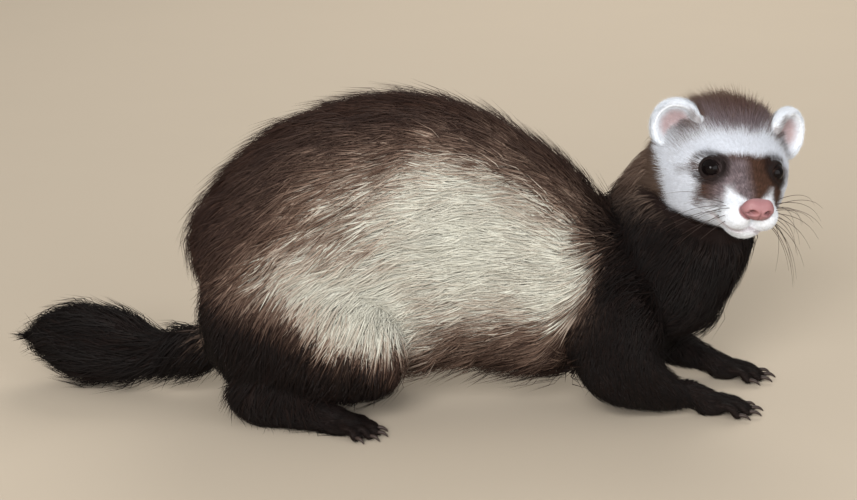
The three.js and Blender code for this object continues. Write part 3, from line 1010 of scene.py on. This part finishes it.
# For each kind: tufts in a square millimetre, then their length, the rise of their tips and width
GROWTH = {
    "torso": (1.25, 19.0, 5.2, 0.62),
    "neck": (1.3, 14.0, 4.0, 0.7),
    "tail": (1.6, 21.0, 7.0, 0.8),
    "foreleg": (1.2, 9.0, 2.2, 0.62),
    "thigh": (1.2, 17.0, 4.4, 0.66),
    "foot": (1.8, 6.0, 1.4, 0.5),
    "paw": (4.5, 4.0, 0.8, 0.36),
    "head": (8.0, 7.0, 1.3, 0.27),
    "ear": (8.0, 4.6, 1.5, 0.3),
}
SHORT = ("paw", "head", "ear")  # hair too short to need a bend
LONG = ("torso", "neck", "thigh", "tail")  # hair that lies in soft clumps
KINDS = list(GROWTH)
PIECES = {  # the torso's and the head's are split further by piece_names
    "torso": "coat_back_right",
    "neck": "coat_neck",
    "tail": "coat_tail",
    "foreleg": "coat_forelegs",
    "thigh": "coat_thighs",
    "foot": "coat_feet",
    "paw": "coat_paws",
    "head": "coat_face",
    "ear": "coat_ears",
}


def tufts(name, rings, tips, colours, uv):
    """One mesh of tapered three-sided tufts. rings holds, for each level, three corner arrays."""
    count = len(tips)
    levels = len(rings)
    corners = np.stack([corner for ring in rings for corner in ring] + [tips], axis=1)
    each = corners.shape[1]
    faces = [(0, 2, 1)]
    for level in range(levels - 1):
        low, high = 3 * level, 3 * level + 3
        for k in range(3):
            n = (k + 1) % 3
            faces += [(low + k, low + n, high + n), (low + k, high + n, high + k)]
    top = 3 * (levels - 1)
    faces += [(top + k, top + (k + 1) % 3, each - 1) for k in range(3)]
    faces = np.array(faces)
    index = (faces[None] + each * np.arange(count)[:, None, None]).reshape(-1, 3)
    mesh = bpy.data.meshes.new(name)
    mesh.vertices.add(count * each)
    placed = (corners.reshape(-1, 3) + SHIFT) * MM
    mesh.vertices.foreach_set("co", placed.astype(np.float32).ravel())
    mesh.loops.add(index.size)
    mesh.loops.foreach_set("vertex_index", index.ravel().astype(np.int32))
    mesh.polygons.add(len(index))
    mesh.polygons.foreach_set("loop_start", np.arange(0, index.size, 3, dtype=np.int32))
    mesh.update(calc_edges=True)
    paint(mesh, colours.reshape(-1, 3))
    layer = mesh.uv_layers.new(name="OFBake")
    layer.data.foreach_set("uv", uv.reshape(-1, 2)[index.ravel()].astype(np.float32).ravel())
    made = bpy.data.objects.new(name, mesh)
    bpy.context.scene.collection.objects.link(made)
    return made


def grow(ground, place, normal, lie, length, rise, width, free, random, steps=2, sunk=1.2):
    """The corners of tufts that follow the skin from their roots to their lifted tips, or run
    straight on where free is 1, and whether each one runs without a kink."""
    flat = unit(lie - normal * dot(lie, normal)[:, None])
    side = np.cross(normal, flat)
    swing = random.normal(0, 0.13, len(place))
    swing = swing + 0.16 * ripple(place, 9, 21) + 0.1 * ripple(place, 27, 5)
    flat = flat * np.cos(swing)[:, None] + side * np.sin(swing)[:, None]
    here = place - normal * sunk
    spine = [here]
    outs = [normal]
    at, heading, out = place, flat, normal
    for step in range(1, steps + 1):
        share = step / steps
        ahead = at + heading * (length / steps)[:, None]
        foot, out = ground.nearest(ahead)
        foot = ahead - out * dot(ahead - foot, out)[:, None]
        heading = unit(heading - out * dot(heading, out)[:, None])
        at = foot
        bent = foot + out * (rise * math.sin(share * math.pi / 2) ** 0.9)[:, None]
        straight = place + unit(0.7 * lie + 0.3 * flat) * (0.55 * length * share)[:, None]
        spine.append(blend(free, bent, straight))
        outs.append(out)
    rings = []
    for step in range(steps):
        ahead = unit(spine[step + 1] - spine[step])
        out = unit(outs[step] - ahead * dot(outs[step], ahead)[:, None])
        across = np.cross(out, ahead)
        half = (width * (0.42 if step == 0 else 0.5 - 0.12 * (step - 1)))[:, None]
        ridge = spine[step] + out * (half * 0.55)
        rings.append((ridge, spine[step] - across * half, spine[step] + across * half))
    even = dot(unit(spine[1] - spine[0]), unit(spine[-1] - spine[-2])) > 0.25
    return rings, spine[-1], even


def patches(t, angle, levels):
    """A small patch of the unwrapped skin for each tuft, at its root's place."""
    size = 0.003
    flat = np.stack([(angle / (2 * np.pi)) % 1, t], axis=1)
    low, high = flat.min(0), flat.max(0)
    root = 0.004 + 0.988 * (flat - low) / np.maximum(high - low, 1e-6)
    corners = []
    for level in range(levels):
        for across in (0.5, 0.0, 1.0):
            corners.append(root + size * np.array([across, level / levels]))
    corners.append(root + size * np.array([0.5, 1.0]))
    return np.stack(corners, axis=1)


def tuft_sizes(place, kinds, t, angle, local):
    """The usual length, rise and width of the tufts at each place."""
    index = np.array([KINDS.index(kind) for kind in kinds])
    _, length, rise, width = np.array(list(GROWTH.values()))[index].T
    forward = local[:, 0]
    on_head = kinds == "head"
    on_torso = kinds == "torso"
    muzzle = smoothstep(8, 30, forward) * on_head
    crown = smoothstep(12, 20, local[:, 2]) * smoothstep(6, -2, forward) * on_head
    cupped = smoothstep(0.0, 2.0, ear_cup(local)[0]) * (kinds == "ear")
    ruff = smoothstep(7, 0, forward) * smoothstep(9, 16, np.abs(local[:, 1])) * (1 - crown) * on_head
    length = length * (1 - 0.5 * muzzle + 0.7 * crown - 0.4 * cupped + 0.6 * ruff)
    rise = rise * (1 - 0.55 * muzzle + 4.6 * crown - 0.55 * cupped + 1.8 * ruff)
    width = width * (1 - 0.25 * muzzle + 0.4 * crown)
    wrist = smoothstep(0.6, 0.95, t) * np.isin(kinds, ("foreleg", "foot"))
    length = length * (1 - 0.45 * wrist)
    rise = rise * (1 - 0.6 * wrist)
    rise = rise * (1 + 0.28 * np.clip(ripple(place, 11, 31), -1, 1.5) * np.isin(kinds, LONG))
    back = smoothstep(0.5, 1.0, np.sin(angle)) * on_torso
    belly = smoothstep(-0.35, -0.85, np.sin(angle)) * on_torso
    rump = smoothstep(-88, -120, place[:, 0]) * on_torso
    return length, rise * (1 + 0.3 * back + 0.9 * belly - 0.35 * rump), width


def tuft_weights(ground):
    """How many tufts each face of the skin should have, and how many that makes in all."""
    a, b, c = (ground.points[ground.corners[:, k]] for k in range(3))
    facing = np.cross(b - a, c - a)
    area = np.linalg.norm(facing, axis=1) / 2
    centre = (a + b + c) / 3
    kinds, _, _, _ = survey(centre)
    weights = np.array([GROWTH[kind][0] for kind in kinds]) * bare_skin(centre)
    weights = weights * (1 - 0.3 * smoothstep(0.3, 0.8, -unit(facing)[:, 2]))
    return weights, (area * weights).sum()


def build_coat(ground, sizes):
    """The whole coat: short one-step tufts on the head, ears and paws, and bent ones elsewhere."""
    random = np.random.default_rng(11)
    weights, total = tuft_weights(ground)
    count = int(total * sizes.density)
    place, normal = ground.scatter(count, weights, random)
    kinds, lie, t, angle = survey(place)
    local = to_head(place)
    short = np.isin(kinds, SHORT)
    is_long = np.isin(kinds, LONG)
    length, rise, width = tuft_sizes(place, kinds, t, angle, local)
    is_guard = random.random(count) < np.where(short | (kinds == "foot"), 0.16, 0.34)
    length = length * sizes.length * np.where(is_guard, 1.3, 1.0) * random.uniform(0.75, 1.15, count)
    rise = rise * np.where(is_guard, 1.2, 0.8) * random.uniform(0.6, 1.2, count)
    width = width * np.where(is_guard, 0.72, 1.15)
    free = smoothstep(0.3, 0.14, t) * (kinds == "tail")
    over = place + unit(lie - normal * dot(lie, normal)[:, None]) * (length * 0.65)[:, None]
    over = np.where((kinds == "ear")[:, None], place, over)
    clump = np.clip(ripple(place, 5.5, 41), -1.6, 1.6)
    in_clumps, alone = random.normal(0, 1, (2, count))
    under, guard = markings(over, kinds, np.where(is_long, 0.55 * in_clumps + 0.75 * clump, alone))
    tone = np.where(short, *random.uniform(0.92, 1.06, (2, count)))
    tone = tone * np.where(is_long, 1 + 0.07 * clump, 1.0)
    # The roots are darker than the undercoat, most of all in dark fur: painted shade deep in the coat
    shaded_root_colour = under * (0.66 + 0.45 * under.mean(1))[:, None]
    middle = blend(0.6 * is_guard, under, guard)
    tip = blend(np.where(is_guard, 1.0, 0.12), under, guard)
    names = piece_names(kinds, angle, place, local)
    pieces = {}
    for few, steps, sunk in ((short, 1, 0.3), (~short, 2, 1.2)):
        shades_up = [shaded_root_colour] * 3 + [middle] * 3 * (steps - 1) + [tip]
        colours = np.stack(shades_up, axis=1)[few] * tone[few, None, None]
        chosen = (v[few] for v in (place, normal, lie, length, rise, width, free))
        rings, tips, even = grow(ground, *chosen, random, steps, sunk)
        rings = [tuple(above_floor(corner, 0.1) for corner in ring) for ring in rings]
        tips = above_floor(tips, 0.15)
        uv = patches(t[few], angle[few], steps)
        for name in sorted(set(names[few])):
            order = np.flatnonzero((names[few] == name) & even)
            part = [tuple(corner[order] for corner in ring) for ring in rings]
            pieces[name] = tufts(name, part, tips[order], colours[order], uv[order])
    return pieces


def bare_skin(points):
    """0 where no hair grows, round the eyes and on the nose pad, and little under the feet."""
    local = to_head(points)
    share = smoothstep(5.0, 5.5, eye_distance(local))
    far = np.linalg.norm((local - np.array(NOSE)) / np.array([4.6, 8.2, 5.4]), axis=1)
    share = share * smoothstep(0.98, 1.1, far)
    return share * np.where(points[:, 2] < 0.6, 0.2, 1.0)


def piece_names(kinds, angle, place, local):
    """The piece of the coat that each tuft belongs to."""
    names = np.array([PIECES[kind] for kind in kinds], dtype=object)
    torso = kinds == "torso"
    high = np.sin(angle) > 0.35
    right = place[:, 1] < 0
    names[torso & high & ~right] = "coat_back_left"
    names[torso & ~high & right] = "coat_flank_right"
    names[torso & ~high & ~right] = "coat_flank_left"
    names[(kinds == "head") & (local[:, 0] < 3)] = "coat_crown"
    return names


def slot_of(piece):
    if piece in ("coat_face", "coat_crown", "coat_ears"):
        return "face_coat"
    if piece.startswith(("coat_back", "coat_flank")):
        return "body_coat"
    return "dark_coat"


# Settings, operators and panel


class FerretSizes(bpy.types.PropertyGroup):
    """Sizes of the coat."""

    density: bpy.props.FloatProperty(
        name="Density",
        description="How many tufts grow, against the usual",
        default=1.0,
        min=0.05,
        subtype="FACTOR",
    )
    length: bpy.props.FloatProperty(
        name="Length",
        description="How long the tufts are, against the usual",
        default=1.0,
        min=0.3,
        subtype="FACTOR",
    )
    whisker: bpy.props.FloatProperty(
        name="Whiskers",
        description="Length of the longest whisker",
        default=0.046,
        min=0.005,
        unit="LENGTH",
    )


def colour_setting(name, description, default):
    return bpy.props.FloatVectorProperty(
        name=name, description=description, default=default, size=3, subtype="COLOR"
    )


class FerretColours(bpy.types.PropertyGroup):
    """Colours of the bare parts and of the stage."""

    floor: colour_setting("Floor", "Colour of the floor", (0.50, 0.43, 0.34))
    nose: colour_setting("Nose", "Colour of the nose pad", tuple(PINK))
    eye: colour_setting("Eyes", "Colour of the eyes", (0.006, 0.004, 0.004))
    claw: colour_setting("Claws", "Colour of the claws", (0.045, 0.03, 0.025))


def fur_material(name):
    """A soft coat, in the colours that its tufts carry."""
    shader = Shader(name)
    colour = shader.attribute(COLOUR_LAYER)
    speckle = shader.noise(700.0, 2.0)
    value = shader.mix(speckle * 0.3, colour, rgba((0.0, 0.0, 0.0)))
    rough = speckle * 0.25 + 0.55
    return shader.finish({"Base Color": value, "Roughness": rough, "Specular IOR Level": 0.13})


def skin_material():
    """Dull, fine-grained skin under the coat, in the same markings."""
    shader = Shader("skin")
    colour = shader.attribute(COLOUR_LAYER)
    fine = shader.noise(900.0, 3.0)
    value = shader.mix(fine * 0.45, colour, rgba((0.02, 0.013, 0.011)))
    height = shader.bump(fine, 0.0006, 0.6)
    return shader.finish(
        {"Base Color": value, "Roughness": fine * 0.2 + 0.55, "Normal": height, "Specular IOR Level": 0.1}
    )


# The view, in metres
VIEW_DISTANCE = 1.0
TARGET_HEIGHT = 0.0717
LENS = 93.35


class FERRET_OT_stage(bpy.types.Operator):
    """Adds the floor, the lights and the camera"""

    bl_idname = "ferret.stage"
    bl_label = "Stage"

    def execute(self, context):
        scene = context.scene
        bm = bmesh.new()
        bmesh.ops.create_grid(bm, x_segments=8, y_segments=8, size=4000)
        floor = to_metres(mesh_object("floor", bm))
        shader = Shader("floor")
        cloth = shader.noise(14.0, 3.0)
        tint = tuple(scene.ferret_colours.floor)
        value = shader.mix(cloth * 0.3, rgba(tint), rgba([c * 0.92 for c in tint]))
        floor.data.materials.append(shader.finish({"Base Color": value, "Roughness": 0.9}))
        target = Vector((SHIFT[0] * MM, 0, TARGET_HEIGHT))
        camera = bpy.data.objects.new("camera", bpy.data.cameras.new("camera"))
        camera.location = target + Vector((0, -math.cos(TILT), math.sin(TILT))) * VIEW_DISTANCE
        camera.rotation_euler = Euler((math.pi / 2 - TILT, 0, 0))
        camera.data.sensor_width = 36
        camera.data.lens = LENS
        scene.collection.objects.link(camera)
        scene.camera = camera
        lamps = (
            ("key", (-0.35, -1.7, 0.95), 0.8, 42.0, (1.0, 0.98, 0.96)),
            ("fill", (1.1, -1.3, 0.5), 1.2, 14.0, (0.97, 0.98, 1.0)),
            ("rim", (0.3, 1.2, 1.0), 1.0, 10.0, (1.0, 0.95, 0.88)),
        )
        for name, place, size, power, colour in lamps:
            lamp = bpy.data.objects.new(name, bpy.data.lights.new(name, "AREA"))
            lamp.data.size = size
            lamp.data.energy = power
            lamp.data.color = colour
            lamp.location = place
            lamp.rotation_euler = (target - Vector(place)).to_track_quat("-Z", "Y").to_euler()
            scene.collection.objects.link(lamp)
        world = bpy.data.worlds.new("studio")
        world.use_nodes = True
        sky = world.node_tree.nodes["Background"].inputs
        sky["Color"].default_value = (0.9, 0.88, 0.84, 1)
        sky["Strength"].default_value = 0.45
        scene.world = world
        scene.view_settings.view_transform = "Standard"
        return {"FINISHED"}


class FERRET_OT_skin(bpy.types.Operator):
    """Adds the skin of the whole body and the coat that grows on it"""

    bl_idname = "ferret.skin"
    bl_label = "Skin and coat"

    def execute(self, context):
        skin = build_skin()
        ground = Ground(skin)
        for name, piece in build_coat(ground, context.scene.ferret_sizes).items():
            hand_over(piece, slot_of(name), fur_material(name), smooth=False)
        kinds, _, _, _ = survey(ground.points)
        under, _ = markings(ground.points, kinds)
        local = to_head(ground.points)
        nose_skin = (1 - bare_skin(ground.points)) * (local[:, 0] > 25)
        lids = smoothstep(7.6, 6.0, eye_distance(local))
        # The skin is darker than the undercoat over it, less so under pale fur: painted shade under the
        # coat
        pale = smoothstep(0.1, 0.5, under.mean(1))[:, None]
        colours = blend(nose_skin, under * (0.8 + 0.15 * pale), PINK)
        colours = blend(lids, colours, linear(20, 14, 14))
        paint(skin.data, colours)
        to_metres(skin)
        hand_over(skin, "body_coat", skin_material(), *FLESH)
        return {"FINISHED"}


class FERRET_OT_eyes(bpy.types.Operator):
    """Adds both eyes"""

    bl_idname = "ferret.eyes"
    bl_label = "Eyes"

    def execute(self, context):
        tint = tuple(context.scene.ferret_colours.eye)
        for name, side in SIDES.items():
            bm = bmesh.new()
            facing = unit(mirrored(EYE_FACING, side))
            centre = from_head(mirrored(EYE, side))
            ball = add_ball(bm, centre, [EYE_RADIUS] * 3, None, 48, 32)
            outward = Vector(HEAD_TURN @ facing)
            for vert in ball:
                bulge = max((vert.co - Vector(centre)).normalized().dot(outward) - 0.8, 0) / 0.2
                vert.co += outward * 0.35 * bulge
            eye = to_metres(mesh_object(f"eyeball_{name}", bm))
            shader = Shader(f"eye_{name}")
            glow = shader.noise(260.0, 2.0)
            value = shader.mix(glow, rgba(tint), rgba([c * 0.4 for c in tint]))
            made = shader.finish({"Base Color": value, "Roughness": 0.06, "Specular IOR Level": 0.1})
            hand_over(eye, "eye", made, f"eye_{name}")
        return {"FINISHED"}


class FERRET_OT_nose(bpy.types.Operator):
    """Adds the nose pad with its nostrils and its middle groove"""

    bl_idname = "ferret.nose"
    bl_label = "Nose"

    def execute(self, context):
        bm = bmesh.new()
        pad = bmesh.ops.create_uvsphere(bm, u_segments=96, v_segments=64, radius=1)["verts"]
        at = np.array([v.co for v in pad])
        shaped = at * np.array([4.4, 7.4, 4.8])
        x, y, z = at.T
        wing = np.abs(y)
        shaped[:, 2] += 0.9 * blob((wing, z), (0.55, 0.6), (0.4, 0.5)) * (x > 0)
        shaped[:, 1] *= 1 - 0.22 * smoothstep(0, -0.9, z)
        hole = blob((wing, z), (0.45, -0.02), (0.17, 0.13))
        hole = hole + 0.7 * blob((wing, z), (0.66, -0.22), (0.14, 0.1))
        groove = np.exp(-((y / 0.05) ** 2)) * smoothstep(0.35, -0.2, z)
        shaped[:, 0] -= (2.6 * np.minimum(hole, 1) + 0.7 * groove) * smoothstep(0.1, 0.5, x)
        off_rim = np.hypot((wing - 0.47) / 1.2, z + 0.05) - 0.3
        shaped[:, 0] += 0.35 * np.exp(-((off_rim / 0.1) ** 2)) * (x > 0.2)
        for vert, place in zip(pad, from_head(shaped + np.array(NOSE))):
            vert.co = place
        nose = to_metres(mesh_object("nose_pad", bm))
        tint = np.array(context.scene.ferret_colours.nose)
        # The nostrils and the middle groove are darkened: painted shade in these hollows
        dark = np.clip(0.9 * np.clip(hole * (x > 0.1), 0, 1) + groove * 0.35, 0, 1)
        colours = blend(dark, tint, linear(52, 20, 20))
        spot = blob((y, z), (-0.28, -0.05), (0.2, 0.25)) * 0.25
        colours = blend(spot, colours, linear(150, 80, 70))
        paint(nose.data, colours)
        shader = Shader("nose")
        pebbles = shader.noise(1600.0, 2.0)
        value = shader.mix(pebbles * 0.3, shader.attribute(COLOUR_LAYER), rgba(linear(140, 92, 94)))
        made = shader.finish(
            {
                "Base Color": value,
                "Roughness": pebbles * 0.2 + 0.45,
                "Normal": shader.bump(pebbles, 0.0004, 0.5),
            }
        )
        hand_over(nose, "nose_skin", made, "nose")
        return {"FINISHED"}


class FERRET_OT_claws(bpy.types.Operator):
    """Adds the twenty claws"""

    bl_idname = "ferret.claws"
    bl_label = "Claws"

    def execute(self, context):
        bm = bmesh.new()
        for paw in PAWS:
            for index in range(-2, 3):
                _, nail = toe_stations(paw, index)
                Tube(nail, start=0.1, end=0.12).add(bm, 0.0, 12, 16)
        claws = to_metres(mesh_object("claws", bm))
        shader = Shader("claw")
        grain = shader.noise(500.0, 2.0, (1.0, 1.0, 3.0))
        tint = tuple(context.scene.ferret_colours.claw)
        value = shader.mix(grain, rgba(tint), rgba([c * 0.5 for c in tint]))
        made = shader.finish(
            {"Base Color": value, "Roughness": grain * 0.2 + 0.4, "Specular IOR Level": 0.25}
        )
        hand_over(claws, "dark_coat", made)
        return {"FINISHED"}


class FERRET_OT_whiskers(bpy.types.Operator):
    """Adds the whiskers on both sides of the muzzle"""

    bl_idname = "ferret.whiskers"
    bl_label = "Whiskers"

    def execute(self, context):
        random = np.random.default_rng(5)
        longest = context.scene.ferret_sizes.whisker / MM
        bm = bmesh.new()
        for side, rows, columns, share in ((-1, 3, 4, 0.6), (1, 4, 5, 1.0)):
            for row in range(rows):
                for column in range(columns):
                    root = (34.5 - 2.3 * column, 9.0 + 0.9 * column, -4.5 - 2.2 * row)
                    ahead = mirrored((0.25 - 0.2 * column, 1.0, 0.25 - 0.28 * row), side)
                    ahead = unit(ahead + random.normal(0, 0.12, 3))
                    length = longest * (0.55 + 0.11 * column) * random.uniform(0.8, 1.05)
                    whisker(bm, mirrored(root, side), ahead, length * share)
        for vert in bm.verts:
            vert.co = Vector(from_head(np.array(vert.co)))
        whiskers = to_metres(mesh_object("whiskers", bm))
        shader = Shader("whisker")
        grain = shader.noise(300.0)
        value = shader.mix(grain, rgba(linear(34, 24, 20)), rgba(linear(64, 48, 40)))
        made = shader.finish({"Base Color": value, "Roughness": 0.4})
        hand_over(whiskers, "dark_coat", made)
        return {"FINISHED"}


def whisker(bm, root, ahead, length):
    """A tapered hair that leaves the muzzle along ahead and droops towards its tip."""
    stations = []
    for k in range(6):
        share = k / 5
        droop = np.array([-0.3, 0, -0.55]) * length * share**2.2
        place = root - ahead + ahead * length * share + droop
        thick = 0.17 * (1 - 0.8 * share)
        stations.append((*place, thick, thick, thick))
    Tube(stations, upward=(0.3, 0.1, 1), start=0.02, end=0.02).add(bm, 0.0, 5, 16)


class FERRET_PT_panel(bpy.types.Panel):
    """Buttons for each piece, and the settings"""

    bl_label = "Ferret"
    bl_space_type = "VIEW_3D"
    bl_region_type = "UI"
    bl_category = "Ferret"

    def draw(self, context):
        for group in (context.scene.ferret_sizes, context.scene.ferret_colours):
            for name in group.__annotations__:
                self.layout.prop(group, name)
        for operator in OPERATORS:
            self.layout.operator(operator.bl_idname)


OPERATORS = (
    FERRET_OT_stage,
    FERRET_OT_skin,
    FERRET_OT_eyes,
    FERRET_OT_nose,
    FERRET_OT_claws,
    FERRET_OT_whiskers,
)
CLASSES = (FerretSizes, FerretColours, *OPERATORS, FERRET_PT_panel)


def register():
    for made in CLASSES:
        bpy.utils.register_class(made)
    bpy.types.Scene.ferret_sizes = bpy.props.PointerProperty(type=FerretSizes)
    bpy.types.Scene.ferret_colours = bpy.props.PointerProperty(type=FerretColours)


def unregister():
    del bpy.types.Scene.ferret_colours
    del bpy.types.Scene.ferret_sizes
    for made in reversed(CLASSES):
        bpy.utils.unregister_class(made)


def main():
    register()
    for operator in OPERATORS:
        group, name = operator.bl_idname.split(".")
        getattr(getattr(bpy.ops, group), name)()


if __name__ == "__main__":
    main()
